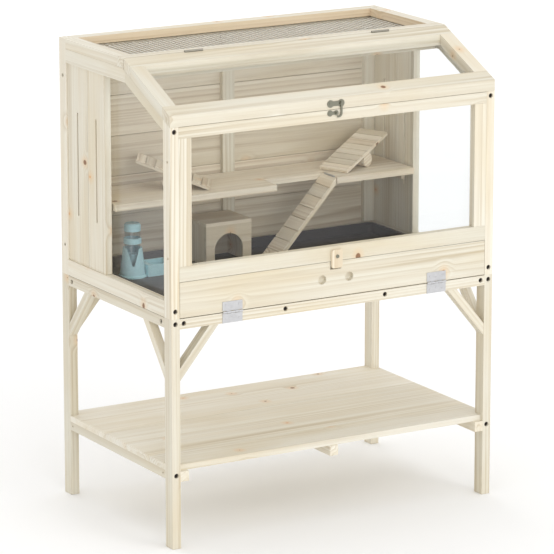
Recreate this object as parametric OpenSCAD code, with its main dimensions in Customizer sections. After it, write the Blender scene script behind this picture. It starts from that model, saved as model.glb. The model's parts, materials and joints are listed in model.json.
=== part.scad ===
// Hamster cage: a wooden cage with a sloping see-through lid on an open stand.
// Origin: centre of the outer box at floor level. X runs along the width,
// Y runs from the front (negative) to the back, Z is up. Millimetres.

/* [Outer size] */
// Width over the posts
width = 800; // [760:5:840]
// Depth over the posts
depth = 490; // [480:5:500]
// Height of the roof surface
height = 1020; // [1010:5:1040]
// Height of the stand, up to the cage
stand_h = 499; // [480:1:510]
// How far the hardware stands in front of the posts
proud = 8; // [8:1:12]

/* [Timber] */
// Thickness of the posts and legs, along the width
post_w = 20; // [18:1:24]
// Depth of the posts and legs
post_d = 30; // [26:1:32]
// Height of the stand's top aprons
apron_h = 23; // [20:1:30]
// Thickness of the aprons and window rails
rail_t = 18; // [14:1:20]
// Thickness of the wall planks
plank_t = 12; // [9:1:14]
// Width of the corner braces
brace_w = 17; // [14:1:24]
// Thickness of the braces in the front and the back
brace_t = 24; // [18:1:28]
// How far a brace reaches along the apron
brace_run = 72; // [60:1:90]
// How far a brace reaches down the leg
brace_drop = 86; // [60:1:90]

/* [Stand shelf] */
// Height of the shelf's upper face
shelf_z = 181; // [150:1:260]
// Thickness of the shelf boards
shelf_t = 13; // [10:1:18]
// Joint between the front and the middle shelf board
shelf_joint_front = -143; // [-170:1:-100]
// Joint between the middle and the back shelf board
shelf_joint_back = 63; // [20:1:100]
// Height of the shelf's bearers
bearer_h = 22; // [18:1:30]

/* [Cage front] */
// Upper edge of the flap
flap_top = 576; // [560:1:590]
// Upper edge of the window's bottom rail
sill_top = 609; // [600:1:620]
// Lower edge of the window's top rail
window_top = 880; // [860:1:885]
// Upper edge of the window's top rail
front_top = 904; // [900:1:908]
// Width of the window's stiles
stile_w = 30; // [20:1:40]
// Thickness of the flap
flap_t = 15; // [12:1:15]
// Diameter of the finger holes in the flap
finger_d = 20; // [16:1:24]
// Depth of the finger holes
finger_deep = 9; // [6:1:11]
// Distance between the finger holes
finger_gap = 67; // [50:1:90]
// Width of the turn button
button_w = 26; // [20:1:30]
// Height of the turn button
button_h = 40; // [34:1:44]
// Height of the turn button's screw
button_z = 588; // [586:1:592]

/* [Lid and roof] */
// Slope of the lid in degrees
slope = 24.4; // [23:0.1:25]
// Thickness of the lid's frame
lid_t = 22; // [18:1:24]
// Width of the lid's frame members
lid_w = 32; // [26:1:36]
// Gap between the roof and the lid, for the hinge leaves
lid_gap = 2; // [2:0.5:3]
// Thickness of the roof frame
roof_t = 22; // [18:1:26]
// Width of the roof frame's side rails
roof_w = 30; // [24:1:36]
// Distance between the mesh wires
mesh_pitch = 12.5; // [10:0.5:25]
// Thickness of the clear sheets
pane_t = 3; // [2:0.5:4]

/* [Side walls] */
// Height of the side walls' bottom rails
side_rail_h = 35; // [30:1:40]
// Height of the side walls' top rails
top_rail_h = 30; // [24:1:36]
// Thickness of the side walls' planks
side_plank_t = 16; // [12:1:16]
// Length of the vent slots
slot_l = 227; // [150:1:240]
// Width of the vent slots
slot_w = 6; // [4:1:8]

/* [Inside] */
// Height of the platform's upper face
platform_z = 686; // [680:1:700]
// Thickness of the platform
platform_t = 14; // [10:1:16]
// Length of the notch that the ramp comes up through
notch_l = 154; // [150:1:170]
// Depth of that notch
notch_d = 63; // [60:1:80]
// Angle of the ramp at rest
ramp_angle = 47.3; // [46:0.1:48]
// Thickness of the ramp
ramp_t = 10; // [8:1:12]
// Height of the tray's walls
tray_h = 26; // [20:1:30]
// Gap between the flap and the tray, where the flap swings
tray_setback = 44; // [40:1:60]
// Length of a seesaw
seesaw_l = 170; // [150:5:180]
// Width of a seesaw
seesaw_w = 73; // [60:1:80]
// Radius of a seesaw's log
log_r = 16; // [14:1:17]
// Width of the house
house_w = 114; // [100:1:120]
// Depth of the house
house_d = 100; // [90:1:104]
// Height of the house
house_h = 95; // [80:1:110]

/* [Hidden] */

pine = "BurlyWood";
steel = "Silver";
clear = "LightCyan";
blue = "PowderBlue";

mid_y = proud / 2;
face_y = mid_y - depth / 2;
back_y = mid_y + depth / 2;
half_w = width / 2;
in_x = half_w - post_w;
in_front = face_y + post_d;
in_back = back_y - post_d;

roof_front = -42;
roof_back_of_front = -14;
lid_y = roof_front - lid_gap;
lid_rise = tan(slope);
lid_deep = lid_t / cos(slope);
lid_bar = lid_w * cos(slope);
under_roof = height - roof_t;
wall_in_y = 225;
batten_t = 12;
batten_w = 30;
wall_edge_y = 52;
plank_in = 3;
plank_joint_y = 127;
seam = 0.3;
slot_z = 753;
bolt_r = 5.3;
bolt_deep = 9;
fine = 48;

axis_z = stand_h;
axis_y = face_y - 2.7;
flap_hinge_x = 254;
flap_hinge_w = 48;
leaf_t = 1.5;
knuckle_r = 2.2;

tray_x = 372;
tray_z = stand_h + 5.3;
tray_floor_t = 2.7;
tray_wall = 2.5;
floor_z = tray_z + tray_floor_t;
tray_back = 211;
tray_front = face_y + flap_t + tray_setback;

platform_y = 40.5;
platform_back = wall_in_y - batten_t;
notch_x = 22;
ramp_axis_x = notch_x + notch_l - 1.2;
ramp_axis_z = platform_z + 0.5;
ramp_y = platform_y + 1;
ramp_w = notch_d - 2;

tilt = 2 * atan((log_r - 0.5) / (seesaw_l / 2));
seesaw_t = 8;
rest_gap = 0.3;
left_seesaw = [-186.9, 143];
right_seesaw = [279.1, 131.3];
left_turn = 148;
right_turn = 24;

house_x = -63;
house_back = tray_back - tray_wall - 4;
house_t = 8;
door_w = 71;
door_top = 68;

feeder = [-300, 110];
tower_h = 64;
latch_z = 917;
catch_z = 897;

// Height of the lid's underside at a given y
function lid_under(y) = front_top + 1 + (y - face_y) * lid_rise;
// Height of the lid's upper face at a given y
function lid_over(y) = lid_under(y) + lid_deep;

// Puts the children on both sides, the second one mirrored in X
module both_sides() {
    children();
    mirror([1, 0, 0]) children();
}

// Mirrors the children to the left when the side is "left"
module on_side(side) {
    if (side == "left") mirror([1, 0, 0]) children();
    else children();
}

// A bar between two corner points
module bar(low, high) {
    translate(low) cube(high - low);
}

// A profile drawn in (y, z), extruded along X from x0 to x1
module along_x(x0, x1) {
    translate([x0, 0, 0]) rotate([90, 0, 90]) linear_extrude(x1 - x0) children();
}

// A profile drawn in (x, z), extruded along Y from y0 to y1
module along_y(y0, y1) {
    translate([0, y1, 0]) rotate([90, 0, 0]) linear_extrude(y1 - y0) children();
}

// A rectangle with round corners, centred
module round_rect(w, h, r) {
    square([w - 2 * r, h], center = true);
    square([w, h - 2 * r], center = true);
    for (sx = [-1, 1], sy = [-1, 1])
        translate([sx * (w / 2 - r), sy * (h / 2 - r)]) circle(r, $fn = fine);
}

// A round hole that goes in from the front face
module front_hole(x, z, r = bolt_r, deep = bolt_deep) {
    translate([x, face_y - 1, z]) rotate([-90, 0, 0]) cylinder(h = deep + 1, r = r, $fn = fine);
}

// A round hole that goes in from the right-hand side face
module side_hole(y, z, r = bolt_r, deep = bolt_deep) {
    translate([half_w + 1, y, z]) rotate([0, -90, 0]) cylinder(h = deep + 1, r = r, $fn = fine);
}

front_post_bolts = [front_top - 9, stand_h + 16];
leg_bolts = [stand_h - 11, shelf_z - 21];
side_front_bolts = [831, 627];
side_back_bolts = [939, 565];
apron_bolt_x = [124, 370];
apron_bolt_y = [mid_y - 200.5, mid_y + 200.5];
shelf_bolt_y = [mid_y - 204.5, mid_y + 204.5];

// ---- Stand ----

module front_leg() {
    difference() {
        bar([in_x, face_y, 0], [half_w, in_front, stand_h]);
        for (z = leg_bolts) front_hole(half_w - 10, z);
    }
}

module back_leg() {
    bar([in_x, in_back, 0], [half_w, back_y, stand_h]);
}

module leg_front_left() { color(pine) on_side("left") front_leg(); }
module leg_front_right() { color(pine) on_side("right") front_leg(); }
module leg_back_left() { color(pine) on_side("left") back_leg(); }
module leg_back_right() { color(pine) on_side("right") back_leg(); }

apron_z = stand_h - apron_h;
apron_top = stand_h - 1;

module apron_front() {
    color(pine) difference() {
        bar([-in_x, face_y, apron_z], [in_x, face_y + rail_t, apron_top]);
        for (x = apron_bolt_x) both_sides() front_hole(x, stand_h - 11);
    }
}

module apron_back() {
    color(pine) bar([-in_x, back_y - rail_t, apron_z], [in_x, back_y, apron_top]);
}

module side_apron() {
    difference() {
        bar([half_w - rail_t, in_front, apron_z], [half_w, in_back, apron_top]);
        for (y = apron_bolt_y) side_hole(y, stand_h - 12);
    }
}

module apron_left() { color(pine) on_side("left") side_apron(); }
module apron_right() { color(pine) on_side("right") side_apron(); }

// Outline of a brace whose corner with leg and apron is at the origin
module brace_shape() {
    grow_run = brace_w / sin(atan(brace_drop / brace_run));
    grow_drop = brace_w / cos(atan(brace_drop / brace_run));
    polygon([
        [-brace_run, 0], [-brace_run - grow_run, 0],
        [0, -brace_drop - grow_drop], [0, -brace_drop]
    ]);
}

module brace_in_front_plane(y0, y1) {
    both_sides() along_y(y0, y1) translate([in_x, apron_z]) brace_shape();
}

module braces_front() { color(pine) brace_in_front_plane(face_y + 1, face_y + 1 + brace_t); }
module braces_back() { color(pine) brace_in_front_plane(back_y - 1 - brace_t, back_y - 1); }

module side_braces() {
    along_x(in_x, half_w - 1) {
        translate([in_back, apron_z]) brace_shape();
        translate([in_front, apron_z]) mirror([1, 0]) brace_shape();
    }
}

module braces_left() { color(pine) on_side("left") side_braces(); }
module braces_right() { color(pine) on_side("right") side_braces(); }

bearer_top = shelf_z - shelf_t;
shelf_front = face_y + 8;
shelf_edges = [shelf_front, shelf_joint_front, shelf_joint_back, back_y];
board_gap = 1;

module shelf_bearers() {
    color(pine) {
        both_sides()
            bar([in_x - 20, face_y, bearer_top - bearer_h], [in_x, back_y, bearer_top]);
        bar([-10, face_y + 4, bearer_top - bearer_h], [10, back_y, bearer_top]);
    }
}

module shelf_side_rails() {
    color(pine) both_sides() difference() {
        bar([in_x, in_front, bearer_top - bearer_h + 3], [half_w, in_back, bearer_top]);
        for (y = shelf_bolt_y) side_hole(y, bearer_top - 9, r = 2.6, deep = 4);
    }
}

module shelf_board(index) {
    y0 = shelf_edges[index] + board_gap / 2;
    y1 = shelf_edges[index + 1] - board_gap / 2;
    difference() {
        bar([-half_w, y0, bearer_top], [half_w, y1, shelf_z]);
        if (index == 0) both_sides()
            bar([in_x, y0 - 1, bearer_top - 1], [half_w + 1, in_front, shelf_z + 1]);
        if (index == 2) both_sides()
            bar([in_x, in_back, bearer_top - 1], [half_w + 1, y1 + 1, shelf_z + 1]);
    }
}

module shelf_board_front() { color(pine) shelf_board(0); }
module shelf_board_middle() { color(pine) shelf_board(1); }
module shelf_board_back() { color(pine) shelf_board(2); }

// ---- Cage posts ----

module front_post() {
    difference() {
        along_x(in_x, half_w) polygon([
            [face_y, stand_h], [in_front, stand_h],
            [in_front, lid_under(in_front) - 0.4], [face_y, lid_under(face_y) - 0.4]
        ]);
        for (z = front_post_bolts) front_hole(half_w - 10, z);
        for (z = side_front_bolts) side_hole(face_y + 13, z, r = 2.8, deep = 4);
    }
}

module back_post() {
    difference() {
        bar([in_x, in_back, stand_h], [half_w, back_y, height]);
        for (z = side_back_bolts) side_hole(back_y - 15, z, r = 4);
    }
}

module post_front_left() { color(pine) on_side("left") front_post(); }
module post_front_right() { color(pine) on_side("right") front_post(); }
module post_back_left() { color(pine) on_side("left") back_post(); }
module post_back_right() { color(pine) on_side("right") back_post(); }

// ---- Side walls ----

side_sill = stand_h + side_rail_h;
side_head = under_roof - top_rail_h;
knee_y = roof_front - 7;

// Outline of the wall's see-through opening in (y, z), grown by a margin
module side_opening(grow = 0) {
    polygon([
        [in_front - grow, side_sill - grow],
        [wall_edge_y + grow, side_sill - grow],
        [wall_edge_y + grow, side_head + grow],
        [knee_y, side_head + grow],
        [in_front - grow, lid_under(in_front - grow) - lid_deep + grow]
    ]);
}

// Bottom rail, top rail and sloping rail of one side wall
module side_frame() {
    knee_top = lid_under(knee_y) - 0.4;
    along_x(in_x, half_w) {
        translate([in_front, stand_h]) square([in_back - in_front, side_rail_h - seam]);
        polygon([
            [knee_y + seam, side_head], [in_back, side_head], [in_back, under_roof - seam],
            [roof_front, under_roof - seam], [roof_front, lid_under(roof_front) - 0.4],
            [knee_y + seam, knee_top]
        ]);
        polygon([
            [in_front, lid_under(in_front) - lid_deep], [knee_y, side_head],
            [knee_y, knee_top], [in_front, lid_under(in_front) - 0.4]
        ]);
    }
}

module side_frame_left() { color(pine) on_side("left") side_frame(); }
module side_frame_right() { color(pine) on_side("right") side_frame(); }

// One wall plank with its long vent slot
module side_plank(y0, y1) {
    x1 = half_w - plank_in;
    slot_y = (y0 + y1) / 2;
    difference() {
        bar([x1 - side_plank_t, y0, side_sill], [x1, y1, side_head - seam]);
        along_x(x1 - side_plank_t - 1, x1 + 1) translate([slot_y, slot_z]) {
            square([slot_w, slot_l - slot_w], center = true);
            for (s = [-1, 1])
                translate([0, s * (slot_l - slot_w) / 2]) circle(slot_w / 2, $fn = fine);
        }
    }
}

module side_planks() {
    side_plank(wall_edge_y, plank_joint_y - 0.6);
    side_plank(plank_joint_y + 0.6, in_back - seam);
}

module side_planks_left() { color(pine) on_side("left") side_planks(); }
module side_planks_right() { color(pine) on_side("right") side_planks(); }

module side_pane() {
    along_x(in_x - pane_t, in_x - 0.1) side_opening(grow = 8);
}

module side_pane_left() { color(clear, 0.35) on_side("left") side_pane(); }
module side_pane_right() { color(clear, 0.35) on_side("right") side_pane(); }

// ---- Back wall ----

back_board_z = [stand_h, 528, 617, 705, 794, 884, 974, under_roof];

module back_boards() {
    color(pine) for (i = [0:len(back_board_z) - 2]) bar(
        [-in_x, wall_in_y, back_board_z[i] + 0.6],
        [in_x, wall_in_y + plank_t, back_board_z[i + 1] - 0.6]);
}

module back_battens() {
    z0 = tray_z + tray_h + 2;
    color(pine) {
        bar([-batten_w / 2, wall_in_y - batten_t, z0], [batten_w / 2, wall_in_y, under_roof - 1]);
        both_sides()
            bar([in_x - batten_w + 3, wall_in_y - batten_t, z0], [in_x, wall_in_y, under_roof - 1]);
    }
}

// ---- Roof ----

mesh_r = 0.5;
mesh_low = height - 20;
mesh_grip = 4;
mesh_x = half_w - roof_w;

module hinge_seat_in_roof() {
    both_sides() translate([lid_hinge_x, lid_axis_y, height]) rotate([0, 90, 0])
        cylinder(h = lid_hinge_w + 1, r = lid_knuckle_r + 0.5, center = true, $fn = fine);
}

// The rails of the roof, with the groove that holds the mesh
module roof_frame() {
    color(pine) difference() {
        union() {
            both_sides() bar(
                [mesh_x, roof_back_of_front + seam, under_roof], [half_w, in_back - seam, height]);
            bar([-half_w, roof_front, under_roof], [half_w, roof_back_of_front, height]);
            bar([-in_x + seam, in_back, under_roof], [in_x - seam, back_y, height]);
        }
        bar([-mesh_x - mesh_grip - 1, roof_back_of_front - mesh_grip - 1, mesh_low - 0.4],
            [mesh_x + mesh_grip + 1, in_back + mesh_grip + 1, mesh_low + 2.6]);
        hinge_seat_in_roof();
    }
}

// Welded wires in two layers that pass over each other
module roof_mesh() {
    len_x = 2 * (mesh_x + mesh_grip);
    y0 = roof_back_of_front - mesh_grip;
    y1 = in_back + mesh_grip;
    rows = floor((y1 - y0) / mesh_pitch);
    cols = floor(len_x / mesh_pitch);
    row_step = (y1 - y0 - 2 * mesh_r) / rows;
    col_step = (len_x - 2 * mesh_r) / cols;
    color(steel) {
        for (i = [0:rows])
            translate([0, y0 + mesh_r + i * row_step, mesh_low + mesh_r]) rotate([0, 90, 0])
                cylinder(h = len_x, r = mesh_r, center = true, $fn = 16);
        for (i = [0:cols])
            translate([(i - cols / 2) * col_step, y0, mesh_low + 3 * mesh_r + 0.2])
                rotate([-90, 0, 0]) cylinder(h = y1 - y0, r = mesh_r, $fn = 16);
    }
}

module roof_header() {
    reach = in_x - pane_t - 0.3;
    color(pine) bar([-reach, roof_front, side_head], [reach, roof_front + rail_t, under_roof - seam]);
}

// ---- Front window ----

window_x = in_x - stile_w;

module window_frame() {
    color(pine) {
        bar([-in_x + seam, face_y, window_top], [in_x - seam, face_y + rail_t, front_top]);
        difference() {
            bar([-in_x + seam, face_y, flap_top + 1], [in_x - seam, face_y + rail_t, sill_top]);
            front_hole(0, button_z, r = 2.02, deep = 12);
        }
        both_sides() bar(
            [window_x, face_y, sill_top + seam], [in_x - seam, face_y + rail_t, window_top - seam]);
    }
}

module window_pane() {
    color(clear, 0.35) bar(
        [-window_x - 8, face_y + rail_t, sill_top - 8],
        [window_x + 8, face_y + rail_t + pane_t, window_top + 8]);
}

module floor_panel() {
    color(pine) bar([-in_x, face_y + rail_t, stand_h - 1], [in_x, wall_in_y, stand_h + 4]);
}

// ---- Bolts that hold the posts and aprons ----

// A bolt head at the bottom of its hole, with a hexagon socket
module bolt_head(r) {
    difference() {
        cylinder(h = 5, r = r - 0.3, $fn = fine);
        translate([0, 0, 2.5]) cylinder(h = 4, r = r * 0.5, $fn = 6);
    }
}

module front_bolt(x, z) {
    translate([x, face_y + bolt_deep, z]) rotate([90, 0, 0]) bolt_head(bolt_r);
}

module side_bolt(y, z, r) {
    translate([half_w - bolt_deep, y, z]) rotate([0, 90, 0]) bolt_head(r);
}

module bolts() {
    color(steel) both_sides() {
        for (z = concat(leg_bolts, front_post_bolts)) front_bolt(half_w - 10, z);
        for (x = apron_bolt_x) front_bolt(x, stand_h - 11);
        for (y = apron_bolt_y) side_bolt(y, stand_h - 12, bolt_r);
        for (z = side_back_bolts) side_bolt(back_y - 15, z, 4);
    }
}

// ---- Hinges ----

// Knuckles along X in slots of a barrel: which is 0 for the outer ones, 1 for the others
module knuckles(w, which) {
    slot = w / 5;
    first = which == 0 ? [0, 2, 4] : [1, 3];
    for (i = first) translate([-w / 2 + i * slot + 0.15, 0, 0]) children();
}

// The pin of a hinge, centred on the origin, along X
module hinge_pin(w, r) {
    rotate([0, 90, 0]) cylinder(h = w, r = r, center = true, $fn = fine);
}

flap_leaf_h = 22;
pin_r = 1;

// A leaf that hangs down from the axis, flat against the face behind it
module flap_leaf(which) {
    back = face_y - axis_y;
    difference() {
        union() {
            translate([-flap_hinge_w / 2, back - leaf_t, -flap_leaf_h - 1])
                cube([flap_hinge_w, leaf_t, flap_leaf_h - knuckle_r]);
            knuckles(flap_hinge_w, which) {
                translate([0, back - leaf_t, -flap_leaf_h / 2])
                    cube([flap_hinge_w / 5 - 0.3, leaf_t, flap_leaf_h / 2]);
                rotate([0, 90, 0]) cylinder(h = flap_hinge_w / 5 - 0.3, r = knuckle_r, $fn = fine);
            }
        }
        hinge_pin(flap_hinge_w + 2, pin_r + 0.05);
        for (x = [-16, 0, 16]) translate([x, back + 1, -15 + (x == 0 ? 4 : 0)]) rotate([90, 0, 0])
            cylinder(h = 6, r = 2.1, $fn = fine);
    }
}

// Screws of one leaf, with low round heads
module leaf_screws(face, zs) {
    for (x = [-16, 0, 16]) translate([x, face - leaf_t - 0.6, zs[x == 0 ? 1 : 0]]) rotate([-90, 0, 0])
        cylinder(h = leaf_t + 0.6, r = 2, $fn = fine);
}

module flap_hinge_fixed() {
    color(steel) both_sides() translate([flap_hinge_x, axis_y, axis_z]) {
        flap_leaf(0);
        hinge_pin(flap_hinge_w - 0.5, pin_r);
        leaf_screws(face_y - axis_y, [-15, -11]);
    }
}

module flap_hinge_moving() {
    color(steel) both_sides() translate([flap_hinge_x, axis_y, axis_z]) {
        mirror([0, 0, 1]) flap_leaf(1);
        leaf_screws(face_y - axis_y, [15, 11]);
    }
}

lid_hinge_x = 232;
lid_hinge_w = 44;
lid_knuckle_r = 2.5;
lid_axis_y = roof_front - lid_gap / 2;
lid_leaf_t = 0.8;

// A thin leaf that hangs in the gap below the barrel, on the side given by dir
module gap_leaf(w, h, r, gap, t, which, dir) {
    face = gap / 2;
    y0 = dir > 0 ? face - t : -face;
    difference() {
        union() {
            translate([-w / 2, y0, -h]) cube([w, t, h - r - 0.4]);
            knuckles(w, which) {
                translate([0, y0, -h / 2]) cube([w / 5 - 0.3, t, h / 2]);
                rotate([0, 90, 0]) cylinder(h = w / 5 - 0.3, r = r, $fn = fine);
            }
        }
        hinge_pin(w + 2, r * 0.5 + 0.05);
    }
}

module lid_hinge_fixed() {
    color(steel) both_sides() translate([lid_hinge_x, lid_axis_y, height]) {
        gap_leaf(lid_hinge_w, 19, lid_knuckle_r, lid_gap, lid_leaf_t, 0, 1);
        hinge_pin(lid_hinge_w - 0.5, lid_knuckle_r * 0.5);
    }
}

module lid_hinge_moving() {
    color(steel) both_sides() translate([lid_hinge_x, lid_axis_y, height])
        gap_leaf(lid_hinge_w, 19, lid_knuckle_r, lid_gap, lid_leaf_t, 1, -1);
}

// ---- Lid ----

lid_open_back = lid_y - lid_bar;
lid_open_front = face_y + lid_bar + 3;

// A slice of the lid's sloping thickness between two depths
module lid_slice(y0, y1) {
    polygon([
        [y0, lid_under(y0)], [y1, lid_under(y1)], [y1, lid_over(y1)], [y0, lid_over(y0)]
    ]);
}

module lid_frame() {
    color(pine) difference() {
        union() {
            along_x(-half_w, half_w) {
                lid_slice(face_y, lid_open_front);
                lid_slice(lid_open_back, lid_y);
            }
            both_sides() along_x(half_w - lid_w, half_w)
                lid_slice(lid_open_front + seam, lid_open_back - seam);
        }
        both_sides() translate([lid_hinge_x, lid_axis_y, height]) rotate([0, 90, 0])
            cylinder(h = lid_hinge_w + 1, r = lid_knuckle_r + 0.5, center = true, $fn = fine);
    }
}

// Clear sheet held in the middle of the frame's thickness
module lid_pane() {
    lift = lid_deep / 2;
    color(clear, 0.35) along_x(-half_w + lid_w, half_w - lid_w) polygon([
        [lid_open_front, lid_under(lid_open_front) + lift],
        [lid_open_back, lid_under(lid_open_back) + lift],
        [lid_open_back, lid_under(lid_open_back) + lift + pane_t],
        [lid_open_front, lid_under(lid_open_front) + lift + pane_t]
    ]);
}

// ---- Latch between lid and window ----

hook_pivot = [11, latch_z];
hook_t = 2;
hook_w = 4;

module screw_dome(x, z, y) {
    translate([x, y, z]) rotate([90, 0, 0]) cylinder(h = 0.8, r = 2.6, $fn = fine);
}

// Two round lobes with a narrow waist between them
module lobes(x0, x1, r0, r1) {
    translate([x0, 0]) circle(r0, $fn = fine);
    translate([x1, 0]) circle(r1, $fn = fine);
    translate([x0, -r1 * 0.65]) square([x1 - x0, r1 * 1.3]);
}

module latch_plate() {
    color(steel) {
        along_y(face_y - leaf_t, face_y) translate([0, latch_z]) lobes(-15, hook_pivot[0], 8, 8);
        screw_dome(-16, latch_z, face_y - leaf_t);
        translate([hook_pivot[0], face_y - leaf_t, latch_z]) rotate([90, 0, 0])
            cylinder(h = hook_t + 0.9, r = 1.6, $fn = fine);
        translate([hook_pivot[0], face_y - leaf_t - hook_t - 0.9, latch_z]) rotate([90, 0, 0])
            cylinder(h = 0.8, r = 3.2, $fn = fine);
    }
}

module latch_catch() {
    color(steel) {
        along_y(face_y - leaf_t, face_y) translate([0, catch_z]) lobes(-16, -1, 6.5, 5.5);
        screw_dome(-17, catch_z, face_y - leaf_t);
        translate([-1, face_y - leaf_t, catch_z]) rotate([90, 0, 0])
            cylinder(h = 4.5, r = 2.4, $fn = fine);
    }
}

// A flat hook that turns on its rivet and reaches under the catch's stud
module latch_hook() {
    drop = latch_z - catch_z + 8;
    bend = 7;
    y0 = face_y - leaf_t - 0.4 - hook_t;
    color(steel) difference() {
        along_y(y0, y0 + hook_t) {
            translate(hook_pivot) circle(4.5, $fn = fine);
            translate([hook_pivot[0] - hook_w / 2, latch_z - drop + bend]) square([hook_w, drop - bend]);
            translate([hook_pivot[0] - bend, latch_z - drop + bend]) difference() {
                circle(bend + hook_w / 2, $fn = fine);
                circle(bend - hook_w / 2, $fn = fine);
                translate([-20, 0]) square([40, 20]);
                translate([-40, -20]) square([40 - 3, 40]);
            }
        }
        translate([hook_pivot[0], y0 - 1, latch_z]) rotate([-90, 0, 0])
            cylinder(h = hook_t + 2, r = 1.68, $fn = fine);
    }
}

// ---- Flap and turn button ----

relief_w = button_w + 1;
relief_z = button_z - 29;

module flap_board() {
    color(pine) difference() {
        bar([-in_x + 1, face_y, stand_h + 1], [in_x - 1, face_y + flap_t, flap_top]);
        for (s = [-1, 1])
            front_hole(s * finger_gap / 2, stand_h + 40, r = finger_d / 2, deep = finger_deep);
        bar([-relief_w / 2, face_y - 1, relief_z], [relief_w / 2, face_y + flap_t + 1, flap_top + 1]);
    }
}

button_t = 6;
button_gap = 0.5;

module turn_button() {
    y1 = face_y - button_gap;
    color(pine) difference() {
        along_y(y1 - button_t, y1) translate([0, button_z - 25.5 + button_h / 2])
            round_rect(button_w, button_h, 5);
        translate([0, y1 - button_t - 10, button_z]) rotate([-90, 0, 0])
            cylinder(h = 20, r = 2.08, $fn = fine);
    }
}

module button_screw() {
    head = 1.2;
    color(steel) {
        translate([0, face_y - proud + head, button_z]) rotate([-90, 0, 0])
            cylinder(h = proud - head + 10, r = 2, $fn = fine);
        translate([0, face_y - proud, button_z]) rotate([-90, 0, 0]) difference() {
            cylinder(h = head, r = 4, $fn = fine);
            for (a = [0, 90]) rotate([0, 0, a]) cube([5, 0.9, 1], center = true);
        }
    }
}

// ---- Tray ----

module tray_outline(grow, r) {
    translate([0, (tray_front + tray_back) / 2])
        round_rect(2 * (tray_x + grow), tray_back - tray_front + 2 * grow, r);
}

module tray() {
    lip = 3;
    color("DimGray") difference() {
        union() {
            translate([0, 0, tray_z]) linear_extrude(tray_h) tray_outline(-lip, 12);
            translate([0, 0, tray_z + tray_h - 2]) linear_extrude(2) tray_outline(0, 15);
        }
        translate([0, 0, floor_z]) linear_extrude(tray_h) tray_outline(-lip - tray_wall, 9.5);
    }
}

// ---- Platform and ramp ----

module platform() {
    cleat = 8;
    end_x = in_x - 0.5 - pane_t;
    under = platform_z - platform_t;
    color(pine) {
        difference() {
            bar([-end_x, platform_y, under], [end_x, platform_back, platform_z]);
            bar([notch_x, platform_y - 1, under - 6],
                [notch_x + notch_l, platform_y + notch_d, platform_z + 1]);
            ramp_hinge_seat();
        }
        both_sides() bar([end_x - cleat, platform_y + 40, under - 18], [end_x, platform_back, under]);
    }
}

ramp_l = (ramp_axis_z - floor_z - rest_gap) / sin(ramp_angle);
ramp_gap = 2.4;
ramp_hinge_w = 40;
ramp_knuckle_r = 2;
slat_pitch = 30;
slat_gap = 2;
slat_t = 3;

module ramp_hinge_place() {
    translate([ramp_axis_x, ramp_y + ramp_w / 2, ramp_axis_z]) rotate([0, 0, -90]) children();
}

// Room for the hinge's barrel
module ramp_hinge_seat() {
    ramp_hinge_place() rotate([0, 90, 0])
        cylinder(h = ramp_hinge_w + 1, r = ramp_knuckle_r + 0.4, center = true, $fn = fine);
}

// The ramp runs down towards -X from its axis, with treads on a board
module ramp() {
    color(pine) difference() {
        translate([ramp_axis_x, ramp_y, ramp_axis_z]) rotate([0, -ramp_angle, 0]) {
            translate([-ramp_l - 20, 0, -ramp_t])
                cube([ramp_l + 40, ramp_w, ramp_t - slat_t - seam]);
            for (i = [0:7]) translate([-(i + 1) * slat_pitch + slat_gap, 0, -slat_t])
                cube([slat_pitch - slat_gap, ramp_w, slat_t]);
        }
        bar([-200, ramp_y - 5, floor_z - 60], [200, ramp_y + ramp_w + 5, floor_z + rest_gap]);
        bar([ramp_axis_x - ramp_gap / 2, ramp_y - 5, floor_z], [200, ramp_y + ramp_w + 5, height]);
        ramp_hinge_seat();
    }
}

module ramp_hinge_fixed() {
    color(steel) ramp_hinge_place() {
        gap_leaf(ramp_hinge_w, 12, ramp_knuckle_r, ramp_gap, 0.6, 0, 1);
        hinge_pin(ramp_hinge_w - 0.5, ramp_knuckle_r * 0.5);
    }
}

module ramp_hinge_moving() {
    color(steel) ramp_hinge_place()
        gap_leaf(ramp_hinge_w, 12, ramp_knuckle_r, ramp_gap, 0.6, 1, -1);
}

// ---- Seesaws ----

// A board with treads on a log, tipped about the log's centre with its low end at -X
module seesaw() {
    pitch = (seesaw_l + slat_gap) / 8;
    base_t = seesaw_t - slat_t - seam;
    translate([0, 0, platform_z + rest_gap + log_r]) rotate([0, -tilt, 0]) {
        translate([-seesaw_l / 2, -seesaw_w / 2, log_r - 0.5]) cube([seesaw_l, seesaw_w, base_t]);
        for (i = [0:7])
            translate([-seesaw_l / 2 + i * pitch, -seesaw_w / 2, log_r - 0.5 + base_t + seam])
                cube([pitch - slat_gap, seesaw_w, slat_t]);
        rotate([90, 0, 0]) cylinder(h = seesaw_w - 6, r = log_r, center = true, $fn = 64);
    }
}

module seesaw_left() {
    color(pine) translate([left_seesaw[0], left_seesaw[1], 0]) rotate([0, 0, left_turn]) seesaw();
}

module seesaw_right() {
    color(pine) translate([right_seesaw[0], right_seesaw[1], 0]) rotate([0, 0, right_turn]) seesaw();
}

// ---- House ----

house_z = floor_z + rest_gap;
house_front = house_back - house_d;

// The doorway: a straight part with a half circle on top
module doorway() {
    r = door_w / 2;
    translate([house_x - r, house_z - 1]) square([door_w, door_top - r + 1]);
    translate([house_x, house_z + door_top - r]) circle(r, $fn = 64);
}

module house_walls() {
    x0 = house_x - house_w / 2;
    x1 = house_x + house_w / 2;
    z1 = house_z + house_h - house_t;
    color(pine) {
        along_y(house_front, house_front + house_t) difference() {
            translate([x0, house_z]) square([house_w, house_h - house_t]);
            doorway();
        }
        bar([x0, house_back - house_t, house_z], [x1, house_back, z1]);
        for (x = [x0, x1 - house_t]) bar(
            [x, house_front + house_t + seam, house_z], [x + house_t, house_back - house_t - seam, z1]);
    }
}

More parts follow.
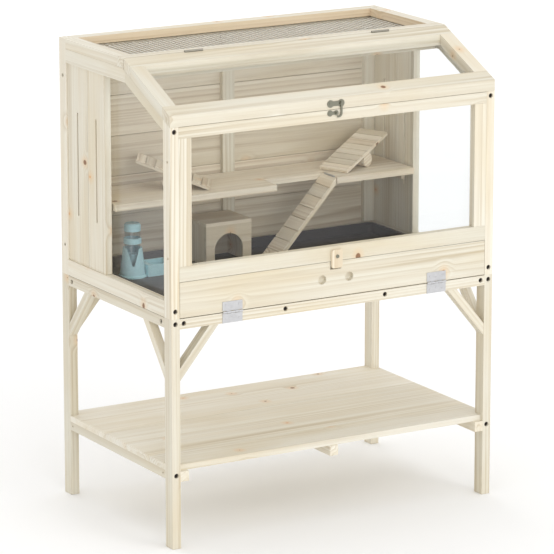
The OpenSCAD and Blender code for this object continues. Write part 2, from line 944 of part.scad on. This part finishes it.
module house_roof() {
    color(pine) bar(
        [house_x - house_w / 2, house_front, house_z + house_h - house_t + 0.2],
        [house_x + house_w / 2, house_back, house_z + house_h]);
}

// ---- Feeder ----

bottle_r = 17;
bowl_h = 26;

// Tapered tower that holds the bottle, open in front, with a bowl beside it
module feeder_base() {
    bowl_x = [feeder[0] + 24, feeder[0] + 88];
    bowl_y = [feeder[1] - 26, feeder[1] + 26];
    color(blue) translate([0, 0, floor_z + rest_gap]) difference() {
        union() {
            translate([feeder[0], feeder[1], 0]) rotate_extrude($fn = 64)
                polygon([[0, 0], [31, 0], [31, 3], [28, 5], [21, tower_h], [0, tower_h]]);
            bar([bowl_x[0], bowl_y[0], 0], [bowl_x[1], bowl_y[1], bowl_h]);
        }
        translate([feeder[0], feeder[1], 3]) rotate_extrude($fn = 64)
            polygon([
                [0, 0], [25.5, 0], [19, tower_h - 15], [bottle_r + 0.4, tower_h - 15],
                [bottle_r + 0.4, tower_h], [0, tower_h]
            ]);
        bar([bowl_x[0] + 12, bowl_y[0] + 3, 3], [bowl_x[1] - 3, bowl_y[1] - 3, bowl_h + 1]);
        bar([feeder[0], feeder[1] - 12, 3], [bowl_x[0] + 14, feeder[1] + 12, 14]);
        translate([feeder[0], feeder[1], 0]) rotate([0, 0, -24]) along_y(-40, -8)
            polygon([[-13, tower_h + 1], [13, tower_h + 1], [2, 26], [-2, 26]]);
    }
}

bottle_z = floor_z + rest_gap + 3 + tower_h - 15;
bottle_h = 49;

module feeder_bottle() {
    ring_r = bottle_r + 2.5;
    color(clear, 0.5) translate([feeder[0], feeder[1], bottle_z]) rotate_extrude($fn = 64)
        polygon([
            [0, -20], [5, -20], [12, 0.3], [bottle_r, 0.3], [bottle_r, 21], [ring_r, 22],
            [ring_r, 33], [bottle_r, 34], [bottle_r, bottle_h], [0, bottle_h]
        ]);
}

module feeder_cap() {
    color(blue) translate([feeder[0], feeder[1], bottle_z + bottle_h]) rotate_extrude($fn = 64)
        polygon([
            [0, 0], [bottle_r + 1, 0], [bottle_r + 1, 13], [bottle_r - 2, 17], [0, 17]
        ]);
}

leg_front_left();
leg_front_right();
leg_back_left();
leg_back_right();
apron_front();
apron_back();
apron_left();
apron_right();
braces_front();
braces_back();
braces_left();
braces_right();
shelf_bearers();
shelf_side_rails();
shelf_board_middle();
shelf_board_front();
shelf_board_back();
post_front_left();
post_front_right();
post_back_left();
post_back_right();
side_frame_left();
side_frame_right();
side_planks_left();
side_planks_right();
side_pane_left();
side_pane_right();
back_boards();
back_battens();
roof_frame();
roof_mesh();
roof_header();
window_frame();
window_pane();
floor_panel();
bolts();
lid_frame();
lid_pane();
lid_hinge_fixed();
lid_hinge_moving();
latch_plate();
latch_catch();
latch_hook();
flap_board();
flap_hinge_fixed();
flap_hinge_moving();
turn_button();
button_screw();
tray();
platform();
ramp();
ramp_hinge_fixed();
ramp_hinge_moving();
seesaw_left();
seesaw_right();
house_walls();
house_roof();
feeder_base();
feeder_bottle();
feeder_cap();
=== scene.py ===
import json
import math
import random

import bmesh
import bpy
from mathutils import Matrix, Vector


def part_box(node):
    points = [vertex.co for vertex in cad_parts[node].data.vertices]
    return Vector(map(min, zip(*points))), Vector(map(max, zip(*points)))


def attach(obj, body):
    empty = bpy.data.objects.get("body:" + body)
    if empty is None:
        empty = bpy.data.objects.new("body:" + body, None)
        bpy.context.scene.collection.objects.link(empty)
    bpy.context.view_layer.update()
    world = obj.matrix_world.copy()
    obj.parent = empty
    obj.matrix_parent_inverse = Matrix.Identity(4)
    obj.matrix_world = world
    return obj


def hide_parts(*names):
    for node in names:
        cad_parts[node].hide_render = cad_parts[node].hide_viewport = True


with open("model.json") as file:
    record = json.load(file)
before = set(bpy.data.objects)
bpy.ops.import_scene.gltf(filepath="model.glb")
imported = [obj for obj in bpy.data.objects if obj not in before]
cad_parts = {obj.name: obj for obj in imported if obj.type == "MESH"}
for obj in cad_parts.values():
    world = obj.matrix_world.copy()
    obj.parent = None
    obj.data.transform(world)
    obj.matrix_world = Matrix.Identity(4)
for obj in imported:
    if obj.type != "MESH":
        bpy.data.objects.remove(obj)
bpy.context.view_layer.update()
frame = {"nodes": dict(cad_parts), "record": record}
random.seed(11)

NODES = frame["nodes"]
SLOT_OF = {s["node"]: s["material_slot"] for s in frame["record"]["subparts"]}
BODY_OF = {n: b for b, ns in frame["record"]["behaviour"]["bodies"].items() for n in ns}
MM = 0.001

# Wood and meshes. Lengths are in metres unless a comment says otherwise.
KNOT_CELLS = 7.5              # cells per metre that may hold a knot
KNOT_NUMBER = 0.62            # a cell has a knot if its random number is above this
SMALL_KNOT, LARGE_KNOT = 0.022, 0.062   # radius, in cells
KNOT_BEND = 0.022             # how far the rings bend round a knot
RINGS = 118.0                 # growth rings per metre
PITH_SPREAD = 0.16            # range of the pith's place across a board
PITH_DEPTH = 0.035            # the pith's depth under the board's middle, about
EASED_EDGE = 0.9 * MM         # width of the bevel on a board's edges
SHORTEST_EDGE = 3.0 * MM      # shorter edges stay sharp
SHARP_ANGLE = 32.0            # degrees between faces; flatter edges stay sharp
SMOOTH_ANGLE = 48             # degrees; edges above this are shaded sharp
WELD = 2e-6                   # vertices closer than this become one
TONGUE_INSET = 4.0 * MM       # from the boards' faces to the tongues in their joints

# Roof netting
WIRE_RADIUS = 0.8 * MM
WIRE_PITCH = 12.5 * MM
WIRE_SIDES = 6
WIRE_SPREAD = 0.9             # each layer's distance from the middle, in wire radii

# Feeder bottle, in millimetres above its lowest point
SPOUT_TOP = 19.0
COLLAR_BOTTOM, COLLAR_TOP = 40.5, 54.5


# ---------------------------------------------------------------- node helpers

class Shader:
    """A small builder for one node material."""

    def __init__(self, name):
        self.mat = bpy.data.materials.new(name)
        self.mat.use_nodes = True
        self.tree = self.mat.node_tree
        self.tree.nodes.clear()
        self.out = self.tree.nodes.new("ShaderNodeOutputMaterial")

    def node(self, kind, **inputs):
        made = self.tree.nodes.new(kind)
        # a node's own settings first, the rest are its sockets
        for key in [k for k in inputs if hasattr(made, k) and k not in made.inputs]:
            setattr(made, key, inputs.pop(key))
        for key, value in inputs.items():
            self.set(made.inputs[key.replace("_", " ")], value)
        return made

    def set(self, socket, value):
        if isinstance(value, bpy.types.NodeSocket):
            self.tree.links.new(value, socket)
        elif isinstance(value, bpy.types.Node):
            self.tree.links.new(value.outputs[0], socket)
        else:
            socket.default_value = value

    def math(self, operation, a, b=None):
        made = self.tree.nodes.new("ShaderNodeMath")
        made.operation = operation
        self.set(made.inputs[0], a)
        if b is not None:
            self.set(made.inputs[1], b)
        return made.outputs[0]

    def stretched(self, vector, factors):
        """The vector with each axis multiplied by its own factor."""
        made = self.tree.nodes.new("ShaderNodeVectorMath")
        made.operation = "MULTIPLY"
        self.set(made.inputs[0], vector)
        self.set(made.inputs[1], factors)
        return made.outputs["Vector"]

    def noise(self, vector, scale, detail=3.0, rough=0.5):
        made = self.tree.nodes.new("ShaderNodeTexNoise")
        self.set(made.inputs["Vector"], vector)
        self.set(made.inputs["Scale"], scale)
        self.set(made.inputs["Detail"], detail)
        self.set(made.inputs["Roughness"], rough)
        return made.outputs["Fac"]

    def mix(self, factor, a, b, blend="MIX"):
        made = self.tree.nodes.new("ShaderNodeMix")
        made.data_type = "RGBA"
        made.blend_type = blend
        self.set(made.inputs["Factor"], factor)
        self.set(made.inputs["A"], (*a, 1) if isinstance(a, tuple) else a)
        self.set(made.inputs["B"], (*b, 1) if isinstance(b, tuple) else b)
        return made.outputs["Result"]

    def range(self, value, low, high, to_low=0.0, to_high=1.0):
        made = self.tree.nodes.new("ShaderNodeMapRange")
        for socket, v in zip(made.inputs, (value, low, high, to_low, to_high)):
            self.set(socket, v)
        return made.outputs[0]

    def swing(self, vector, reach, scale=1.0):
        """Slow noise, from minus to plus half of reach."""
        level = self.math("SUBTRACT", self.noise(vector, scale, 2.0), 0.5)
        return self.math("MULTIPLY", level, reach)

    def bump(self, height, strength, distance):
        made = self.tree.nodes.new("ShaderNodeBump")
        self.set(made.inputs["Strength"], strength)
        self.set(made.inputs["Distance"], distance)
        self.set(made.inputs["Height"], height)
        return made.outputs["Normal"]

    def principled(self, **inputs):
        made = self.tree.nodes.new("ShaderNodeBsdfPrincipled")
        for key, value in inputs.items():
            self.set(made.inputs[key.replace("_", " ")], value)
        self.tree.links.new(made.outputs[0], self.out.inputs["Surface"])
        return made


def linear(r, g, b):
    """An sRGB colour, 0 to 255, as linear values."""
    def one(c):
        c = c / 255
        return c / 12.92 if c <= 0.04045 else ((c + 0.055) / 1.055) ** 2.4
    return (one(r), one(g), one(b))


# ---------------------------------------------------------------- materials

def make_pine(name, light, mid, dark, rough, darkest_board):
    """Pale planed pine.

    'grain' holds the place along, across and through the board, 'tone' one random value per board.
    """
    s = Shader(name)
    grain = s.node("ShaderNodeAttribute", attribute_name="grain").outputs["Vector"]
    tone = s.node("ShaderNodeAttribute", attribute_name="tone").outputs["Fac"]
    split = s.node("ShaderNodeSeparateXYZ", Vector=grain)
    along, across, through = split.outputs

    # knots, pale or dark: about two cells in five hold one
    slant = s.math("ADD", across, s.math("MULTIPLY", through, 0.8))
    flat = s.node("ShaderNodeCombineXYZ", X=along, Y=slant, Z=0.0)
    cells = s.node(
        "ShaderNodeTexVoronoi", voronoi_dimensions="2D", Vector=flat.outputs[0], Scale=KNOT_CELLS)
    chance = s.node("ShaderNodeSeparateColor", Color=cells.outputs["Color"])
    distance = cells.outputs["Distance"]
    has_knot = s.math("GREATER_THAN", chance.outputs[0], KNOT_NUMBER)
    wobble = s.math("MULTIPLY", s.noise(grain, 160.0, 2.0), 0.018)
    away = s.math("ADD", distance, wobble)
    size = s.range(chance.outputs[1], 0.0, 1.0, SMALL_KNOT, LARGE_KNOT)
    core = s.range(away, s.math("MULTIPLY", size, 0.75), size, 1.0, 0.0)
    knot = s.math("MULTIPLY", core, has_knot)
    swell = s.math("MULTIPLY", s.range(distance, 0.02, 0.26, 1.0, 0.0), has_knot)
    swell = s.math("POWER", swell, 2.0)

    # growth rings round a pith beside the board, drawn out along it
    stretch = s.stretched(grain, (0.55, 9.0, 9.0))
    drift = s.swing(stretch, 0.060, 0.9)
    waver = s.swing(s.stretched(grain, (3.0, 30.0, 30.0)), 0.006)
    reach = s.math("ADD", s.math("ADD", drift, waver), s.math("MULTIPLY", swell, KNOT_BEND))
    off = s.math("MULTIPLY", s.math("SUBTRACT", tone, 0.5), PITH_SPREAD)
    ring_y = s.math("ADD", s.math("ADD", across, off), reach)
    ring_z = s.math("ADD", through, PITH_DEPTH)
    squares = s.math("ADD", s.math("MULTIPLY", ring_y, ring_y), s.math("MULTIPLY", ring_z, ring_z))
    radius = s.math("SQRT", squares)
    spacing = s.swing(s.stretched(grain, (0.3, 26.0, 26.0)), 0.030)
    turn = s.math("FRACT", s.math("MULTIPLY", s.math("ADD", radius, spacing), RINGS))
    rise, fall = s.range(turn, 0.25, 0.86, 0.0, 1.0), s.range(turn, 0.86, 1.0, 1.0, 0.0)
    late = s.math("MULTIPLY", rise, fall)
    strength = s.range(s.noise(stretch, 2.3, 2.0), 0.40, 0.70, 0.06, 1.0)
    late = s.math("MULTIPLY", late, strength)

    # fine fibres and slow colour changes
    fibre = s.noise(s.stretched(grain, (9.0, 900.0, 900.0)), 1.0, 3.0, 0.6)
    streak = s.noise(s.stretched(grain, (1.6, 60.0, 60.0)), 1.0, 3.0, 0.55)
    cloud = s.noise(s.stretched(grain, (2.2, 10.0, 10.0)), 1.0, 3.0, 0.55)
    thin = s.noise(s.stretched(grain, (1.1, 85.0, 85.0)), 1.0, 4.0, 0.65)
    colour = s.mix(s.range(streak, 0.34, 0.70), light, mid)
    colour = s.mix(s.math("MULTIPLY", late, 0.62), colour, dark)
    colour = s.mix(s.range(cloud, 0.48, 0.74, 0.0, 0.52), colour, linear(220, 203, 167))
    colour = s.mix(s.range(thin, 0.57, 0.72, 0.0, 0.55), colour, dark)
    colour = s.mix(s.range(fibre, 0.35, 0.75, 0.0, 0.22), colour, dark)

    # each board a little darker or lighter, and warmer or cooler
    bright = s.range(tone, 0.0, 1.0, darkest_board, 1.05)
    blue = s.math("MULTIPLY", bright, s.range(tone, 0.0, 1.0, 0.985, 1.01))
    shade = s.node("ShaderNodeCombineColor", Red=bright, Green=bright, Blue=blue)
    colour = s.mix(1.0, colour, shade.outputs[0], "MULTIPLY")

    # a warm ring round each knot, and its heart
    is_dark = s.math("GREATER_THAN", chance.outputs[2], 0.45)
    heart = s.mix(is_dark, linear(214, 160, 108), linear(120, 78, 48))
    halo = s.math("MULTIPLY", s.range(swell, 0.25, 0.9, 0.0, 0.45), has_knot)
    colour = s.mix(halo, colour, linear(224, 184, 134))
    colour = s.mix(s.math("MULTIPLY", knot, 0.85), colour, heart)
    height = s.math("ADD", s.math("MULTIPLY", fibre, 0.5), s.math("MULTIPLY", late, 0.35))
    s.principled(
        Base_Color=colour,
        Roughness=s.range(streak, 0.3, 0.7, rough - 0.05, rough + 0.07),
        Specular_IOR_Level=0.32,
        Normal=s.bump(height, 0.25, 0.0004),
    )
    return s.mat


def make_acrylic(name, tint, least):
    """Clear sheet that mirrors more at a flat angle; least is its gloss seen head on."""
    s = Shader(name)
    place = s.node("ShaderNodeTexCoord").outputs["Object"]
    rough = s.range(s.noise(place, 14.0, 2.0), 0.3, 0.7, 0.015, 0.05)
    through = s.node("ShaderNodeBsdfTransparent", Color=(*tint, 1))
    gloss = s.node("ShaderNodeBsdfAnisotropic", Color=(1, 1, 1, 1), Roughness=rough)
    facing = s.node("ShaderNodeLayerWeight", Blend=0.5).outputs["Facing"]
    mirror = s.math("ADD", s.math("MULTIPLY", s.math("POWER", facing, 5.0), 0.70), least)
    both = s.tree.nodes.new("ShaderNodeMixShader")
    s.set(both.inputs[0], mirror)
    s.set(both.inputs[1], through.outputs[0])
    s.set(both.inputs[2], gloss.outputs[0])
    s.tree.links.new(both.outputs[0], s.out.inputs["Surface"])
    return s.mat


def make_steel(name, colour, rough, scratch):
    """Metal with faint spots, and scratches as fine as the scratch factors along each axis."""
    s = Shader(name)
    place = s.node("ShaderNodeTexCoord").outputs["Object"]
    fine = s.noise(s.stretched(place, scratch), 1.0, 3.0, 0.6)
    spots = s.noise(place, 90.0, 3.0, 0.6)
    tint = s.mix(s.range(spots, 0.35, 0.7), colour, tuple(c * 0.90 for c in colour))
    tint = s.mix(s.range(fine, 0.4, 0.7, 0.0, 0.3), tint, tuple(min(1.0, c * 1.15) for c in colour))
    s.principled(
        Base_Color=tint, Metallic=1.0,
        Roughness=s.range(fine, 0.3, 0.7, rough - 0.06, rough + 0.09),
        Normal=s.bump(fine, 0.12, 0.0001),
    )
    return s.mat


def make_plastic(name, colour, rough, grain_scale, bump):
    """Moulded plastic with a fine skin; bump is the skin's depth in metres."""
    s = Shader(name)
    place = s.node("ShaderNodeTexCoord").outputs["Object"]
    skin = s.noise(place, grain_scale, 3.0, 0.6)
    cloud = s.noise(place, 7.0, 2.0)
    tint = s.mix(s.range(cloud, 0.35, 0.7), colour, tuple(c * 0.90 for c in colour))
    s.principled(
        Base_Color=tint,
        Roughness=s.range(s.noise(place, 30.0, 3.0), 0.3, 0.7, rough - 0.05, rough + 0.06),
        Specular_IOR_Level=0.5,
        Normal=s.bump(skin, 0.2, bump),
    )
    return s.mat


PINE = make_pine(
    "pine", light=linear(232, 228, 214), mid=linear(225, 217, 199),
    dark=linear(188, 170, 137), rough=0.52, darkest_board=0.90)
# painted light: a lighter copy of the pine for the shelf boards, standing in for light that the
# shelf lacks in the shade under the cage
PINE_SHELF_PAINTED_LIGHT = make_pine(
    "pine_shelf_painted_light", light=linear(241, 237, 226), mid=linear(236, 229, 213),
    dark=linear(198, 181, 149), rough=0.52, darkest_board=0.90)
# partly painted light: the boards inside the cage get a lighter copy of the pine that stands in for
# light they lack; the wider spread of board tones and the warmer dark are the boards' own colour
PINE_IN = make_pine(
    "pine_inside", light=linear(242, 233, 214), mid=linear(233, 220, 197),
    dark=linear(182, 156, 121), rough=0.58, darkest_board=0.80)
PINE_BUTTON = make_pine(
    "pine_button", light=linear(231, 222, 202), mid=linear(223, 211, 187),
    dark=linear(192, 169, 134), rough=0.50, darkest_board=0.95)
# painted shade: a darker, warmer copy of the pine that stands in for the shade on the roof frame's
# inner faces
PINE_PAINTED_SHADE = make_pine(
    "pine_painted_shade", light=linear(232, 216, 189), mid=linear(226, 207, 178),
    dark=linear(192, 166, 128), rough=0.60, darkest_board=0.94)
ACRYLIC = make_acrylic("clear_acrylic", tint=(0.988, 0.993, 0.993), least=0.018)
BOTTLE = make_acrylic("clear_bottle", tint=(0.78, 0.84, 0.86), least=0.10)
ZINC = make_steel("zinc_sheet", (0.62, 0.62, 0.63), rough=0.50, scratch=(30.0, 30.0, 700.0))
NICKEL = make_steel("nickel_latch", (0.27, 0.265, 0.21), rough=0.34, scratch=(300.0, 300.0, 300.0))
DARK_STEEL = make_steel(
    "bolt_black", (0.08, 0.07, 0.065), rough=0.40, scratch=(400.0, 400.0, 400.0))
LID_HINGE = make_steel(
    "lid_hinge_steel", (0.36, 0.34, 0.29), rough=0.42, scratch=(300.0, 300.0, 300.0))
WIRE = make_steel("galvanised_wire", (0.64, 0.62, 0.57), rough=0.38, scratch=(200.0, 200.0, 200.0))
TRAY = make_plastic("tray_plastic", linear(70, 66, 67), rough=0.5, grain_scale=900.0, bump=0.0001)
BLUE = make_plastic(
    "feeder_plastic", linear(182, 225, 232), rough=0.28, grain_scale=500.0, bump=0.00003)


# ---------------------------------------------------------------- meshes from CAD nodes

def islands(bm):
    """The vertices of each separate solid."""
    left, groups = set(bm.verts), []
    while left:
        start = left.pop()
        group, todo = {start}, [start]
        while todo:
            for e in todo.pop().link_edges:
                for v in e.verts:
                    if v in left:
                        left.discard(v)
                        group.add(v)
                        todo.append(v)
        groups.append(group)

    def middle(group):
        return tuple(round(sum(v.co[i] for v in group) / len(group), 4) for i in range(3))

    return sorted(groups, key=middle)


def board_axes(edges):
    """The board's long direction and two square to it, from its longest edge."""
    best = max(edges, key=lambda e: e.calc_length())
    x = (best.verts[1].co - best.verts[0].co).normalized()
    wide = Vector((0, 0, 1)) if abs(x.z) < 0.9 else Vector((0, 1, 0))
    z = (wide - x * wide.dot(x)).normalized()
    y = z.cross(x)
    return x, y, z


def solids_of(node):
    """Each solid of a CAD node as its own cleaned bmesh."""
    whole = bmesh.new()
    whole.from_mesh(NODES[node].data)
    bmesh.ops.remove_doubles(whole, verts=whole.verts, dist=WELD)
    bmesh.ops.dissolve_limit(
        whole, angle_limit=math.radians(0.6), verts=whole.verts, edges=whole.edges)
    made = []
    for group in islands(whole):
        one = bmesh.new()
        new = {}
        for v in sorted(group, key=lambda v: v.index):
            new[v] = one.verts.new(v.co)
        for f in whole.faces:
            if f.verts[0] in group:
                one.faces.new([new[v] for v in f.verts])
        made.append(one)
    whole.free()
    return made


def bevel_sharp(bm):
    """Eases the sharp edges of a board."""
    edges = [
        e for e in bm.edges
        if len(e.link_faces) == 2 and e.calc_length() > SHORTEST_EDGE
        and e.calc_face_angle(0.0) > math.radians(SHARP_ANGLE)
    ]
    if edges:
        bmesh.ops.bevel(bm, geom=edges, offset=EASED_EDGE, offset_type="OFFSET", segments=2,
                        profile=0.5, affect="EDGES", clamp_overlap=False)


def object_from(name, bms, material, extra=None):
    """One object from several bmeshes, which it frees. extra has a (grain, tone) pair for each."""
    verts, faces, grain, tone = [], [], [], []
    for i, bm in enumerate(bms):
        bm.verts.index_update()
        base = len(verts)
        verts.extend(v.co.copy() for v in bm.verts)
        faces.extend([base + v.index for v in f.verts] for f in bm.faces)
        if extra:
            grain.extend(extra[i][0])
            tone.extend([extra[i][1]] * len(bm.verts))
        bm.free()
    mesh = bpy.data.meshes.new(name)
    mesh.from_pydata(verts, [], faces)
    mesh.polygons.foreach_set("use_smooth", [True] * len(mesh.polygons))
    mesh.set_sharp_from_angle(angle=math.radians(SMOOTH_ANGLE))
    mesh.materials.append(material)
    if extra:
        places = mesh.attributes.new("grain", "FLOAT_VECTOR", "POINT")
        places.data.foreach_set("vector", [c for g in grain for c in g])
        tones = mesh.attributes.new("tone", "FLOAT", "POINT")
        tones.data.foreach_set("value", tone)
    made = bpy.data.objects.new(name, mesh)
    bpy.context.scene.collection.objects.link(made)
    normals = made.modifiers.new("normals", "WEIGHTED_NORMAL")
    normals.keep_sharp = True
    normals.weight = 80
    return made


def stand_in(made, node):
    """The made piece takes the CAD node's place, on the node's body."""
    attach(made, BODY_OF[node])
    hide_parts(node)


def box_mesh(low, high):
    """A box between two corners."""
    bm = bmesh.new()
    bmesh.ops.create_cube(bm, size=1.0)
    for v in bm.verts:
        v.co = Vector(low[i] + (v.co[i] + 0.5) * (high[i] - low[i]) for i in range(3))
    return bm


def tongue_sheet(node):
    """The tongues in the joints between upright boards, as one sheet inside their thickness."""
    low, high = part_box(node)
    margin = Vector((2.0 * MM, TONGUE_INSET, 2.0 * MM))
    return box_mesh(low + margin, high - margin)


def wood_piece(node, material):
    """The node's boards with eased edges and grain that runs along each board."""
    bms, extra = [], []
    for bm in solids_of(node):
        x, y, z = board_axes(bm.edges)
        # the second number is drawn to keep the order of the draws, and not used
        shift = Vector((random.uniform(0, 9), random.uniform(0, 3), random.uniform(-0.02, 0.02)))
        tone = random.random()
        centre = sum((v.co for v in bm.verts), Vector()) / len(bm.verts)
        bevel_sharp(bm)
        bm.verts.ensure_lookup_table()
        local = [v.co - centre for v in bm.verts]
        grain = [(p.dot(x) + shift.x, p.dot(y), p.dot(z) + shift.z) for p in local]
        bms.append(bm)
        extra.append((grain, tone))
    if node == "back_boards":
        bms.append(tongue_sheet(node))
        extra.append(([tuple(v.co) for v in bms[-1].verts], 0.0))
    made = object_from("vis_" + node, bms, material, extra)
    stand_in(made, node)
    return made


def paint_shade_on_inner_faces(made, node):
    """Paints shade on the upright faces that look at the middle of the node, as a second, darker
    and warmer pine.
    """
    low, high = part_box(node)
    middle = (low + high) / 2
    made.data.materials.append(PINE_PAINTED_SHADE)
    for polygon in made.data.polygons:
        inward = middle - polygon.center
        inward.z = 0
        if abs(polygon.normal.z) < 0.2 and polygon.normal.dot(inward.normalized()) > 0.3:
            # these faces take the darker pine as painted shade
            polygon.material_index = 1


WOOD_OF = {
    "turn_button": PINE_BUTTON,
    # the shelf boards take the pine with painted light
    "shelf_board_front": PINE_SHELF_PAINTED_LIGHT,
    "shelf_board_middle": PINE_SHELF_PAINTED_LIGHT,
    "shelf_board_back": PINE_SHELF_PAINTED_LIGHT,
    # the boards inside take the lighter pine, partly painted light
    "platform": PINE_IN,
    "ramp": PINE_IN,
    "seesaw_left": PINE_IN,
    "seesaw_right": PINE_IN,
    "house_walls": PINE_IN,
    "house_roof": PINE_IN,
    "back_boards": PINE_IN,
}

for node in sorted(n for n in NODES if SLOT_OF[n] in ("pine", "pine_inside")):
    made = wood_piece(node, WOOD_OF.get(node, PINE))
    # the roof frame's inner faces get painted shade
    if node == "roof_frame":
        paint_shade_on_inner_faces(made, node)


PAINTED = {
    "side_pane_left": ACRYLIC,
    "side_pane_right": ACRYLIC,
    "window_pane": ACRYLIC,
    "lid_pane": ACRYLIC,
    "flap_hinge_fixed": ZINC,
    "flap_hinge_moving": ZINC,
    "ramp_hinge_fixed": ZINC,
    "ramp_hinge_moving": ZINC,
    "lid_hinge_fixed": LID_HINGE,
    "lid_hinge_moving": LID_HINGE,
    "latch_plate": NICKEL,
    "latch_catch": NICKEL,
    "latch_hook": NICKEL,
    "button_screw": NICKEL,
    "bolts": DARK_STEEL,
    "tray": TRAY,
    "feeder_base": BLUE,
    "feeder_cap": BLUE,
    "feeder_bottle": BOTTLE,
}
for node, material in PAINTED.items():
    materials = NODES[node].data.materials
    materials.clear()
    materials.append(material)


def tint_bottle():
    """A blue collar and a blue spout on the clear bottle."""
    mesh = NODES["feeder_bottle"].data
    mesh.materials.append(BLUE)
    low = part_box("feeder_bottle")[0].z
    for polygon in mesh.polygons:
        z = (polygon.center.z - low) / MM
        polygon.material_index = 1 if z < SPOUT_TOP or COLLAR_BOTTOM < z < COLLAR_TOP else 0


tint_bottle()


# ---------------------------------------------------------------- roof mesh

def tube(bm, start, end):
    """A straight closed wire between two points."""
    along = (end - start).normalized()
    side = Vector((0, 0, 1)) if abs(along.z) < 0.9 else Vector((1, 0, 0))
    u = (side - along * side.dot(along)).normalized()
    v = along.cross(u)
    angles = [2 * math.pi * i / WIRE_SIDES for i in range(WIRE_SIDES)]
    rings = [
        [bm.verts.new(point + (u * math.cos(a) + v * math.sin(a)) * WIRE_RADIUS) for a in angles]
        for point in (start, end)
    ]
    for i in range(WIRE_SIDES):
        j = (i + 1) % WIRE_SIDES
        bm.faces.new([rings[0][i], rings[0][j], rings[1][j], rings[1][i]])
    bm.faces.new(rings[0][::-1])
    bm.faces.new(rings[1])


def wire_places(low, high):
    """Where wires run between two limits, a pitch apart or nearly so, the outer ones inside."""
    count = round((high - low) / WIRE_PITCH)
    first, run = low + WIRE_RADIUS, high - low - 2 * WIRE_RADIUS
    return [first + run * i / count for i in range(count + 1)]


def make_roof_mesh():
    """Welded wire netting in the space of the plain CAD netting."""
    (x0, y0, z0), (x1, y1, z1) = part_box("roof_mesh")
    middle = (z0 + z1) / 2
    lower, upper = middle - WIRE_RADIUS * WIRE_SPREAD, middle + WIRE_RADIUS * WIRE_SPREAD
    bm = bmesh.new()
    for y in wire_places(y0, y1):
        tube(bm, Vector((x0, y, lower)), Vector((x1, y, lower)))
    for x in wire_places(x0, x1):
        tube(bm, Vector((x, y0, upper)), Vector((x, y1, upper)))
    stand_in(object_from("vis_roof_mesh", [bm], WIRE), "roof_mesh")


make_roof_mesh()


# ---------------------------------------------------------------- stage, light and camera

ROOM_LIGHT = 0.94
CAMERA_AZIMUTH = -30.645      # degrees; negative is to the left of the front
CAMERA_ELEVATION = 13.717     # degrees
CAMERA_DISTANCE = 8.1786
CAMERA_LENS = 243.65          # millimetres, on a sensor 36 wide
AIM_HEIGHT = 0.5
AIM_DEPTH = 0.004
AIM_RISE = -0.0097            # how far the aim is moved along the camera's up direction


def make_stage():
    """A plain pale floor, just under the legs."""
    bpy.ops.mesh.primitive_plane_add(size=30.0, location=(0, 4, -0.0005))
    floor = bpy.context.object
    floor.name = "floor"
    s = Shader("floor_white")
    place = s.node("ShaderNodeTexCoord").outputs["Object"]
    tint = s.mix(s.noise(place, 1.5, 2.0), (0.955, 0.955, 0.955), (0.965, 0.965, 0.965))
    s.principled(Base_Color=tint, Roughness=0.9, Specular_IOR_Level=0.1)
    floor.data.materials.append(s.mat)


def area_light(name, place, target, size, power):
    """A round soft light that looks at the target."""
    data = bpy.data.lights.new(name, "AREA")
    data.shape = "DISK"
    data.size = size
    data.energy = power
    lamp = bpy.data.objects.new(name, data)
    bpy.context.scene.collection.objects.link(lamp)
    lamp.location = place
    lamp.rotation_euler = (Vector(target) - Vector(place)).to_track_quat("-Z", "Y").to_euler()


def make_light():
    """A white room, a high key, a low fill and a light for the floor behind."""
    world = bpy.data.worlds.new("studio")
    bpy.context.scene.world = world
    world.use_nodes = True
    background = world.node_tree.nodes["Background"]
    background.inputs["Color"].default_value = (1, 1, 1, 1)
    background.inputs["Strength"].default_value = ROOM_LIGHT
    area_light("key", place=(1.4, -4.2, 3.4), target=(0, 0, 0.5), size=2.6, power=40)
    area_light("fill", place=(-1.6, -5.6, 1.5), target=(0, 0, 0.72), size=2.4, power=58)
    area_light("backdrop", place=(0, 9.0, 6.0), target=(0, 9.0, 0), size=8.0, power=260)
    bpy.context.scene.view_settings.view_transform = "Standard"


def make_camera():
    """The camera, to the left of the front and a little above."""
    a, e = math.radians(CAMERA_AZIMUTH), math.radians(CAMERA_ELEVATION)
    back = Vector((math.sin(a) * math.cos(e), -math.cos(a) * math.cos(e), math.sin(e)))
    data = bpy.data.cameras.new("camera")
    data.lens = CAMERA_LENS
    data.sensor_width = 36
    data.clip_end = 100
    camera = bpy.data.objects.new("camera", data)
    bpy.context.scene.collection.objects.link(camera)
    turn = (-back).to_track_quat("-Z", "Y")
    up = turn @ Vector((0, 1, 0))
    aim = Vector((0, AIM_DEPTH, AIM_HEIGHT)) + up * AIM_RISE
    camera.location = aim + back * CAMERA_DISTANCE
    camera.rotation_euler = turn.to_euler()
    bpy.context.scene.camera = camera


make_stage()
make_light()
make_camera()

bpy.context.view_layer.update()
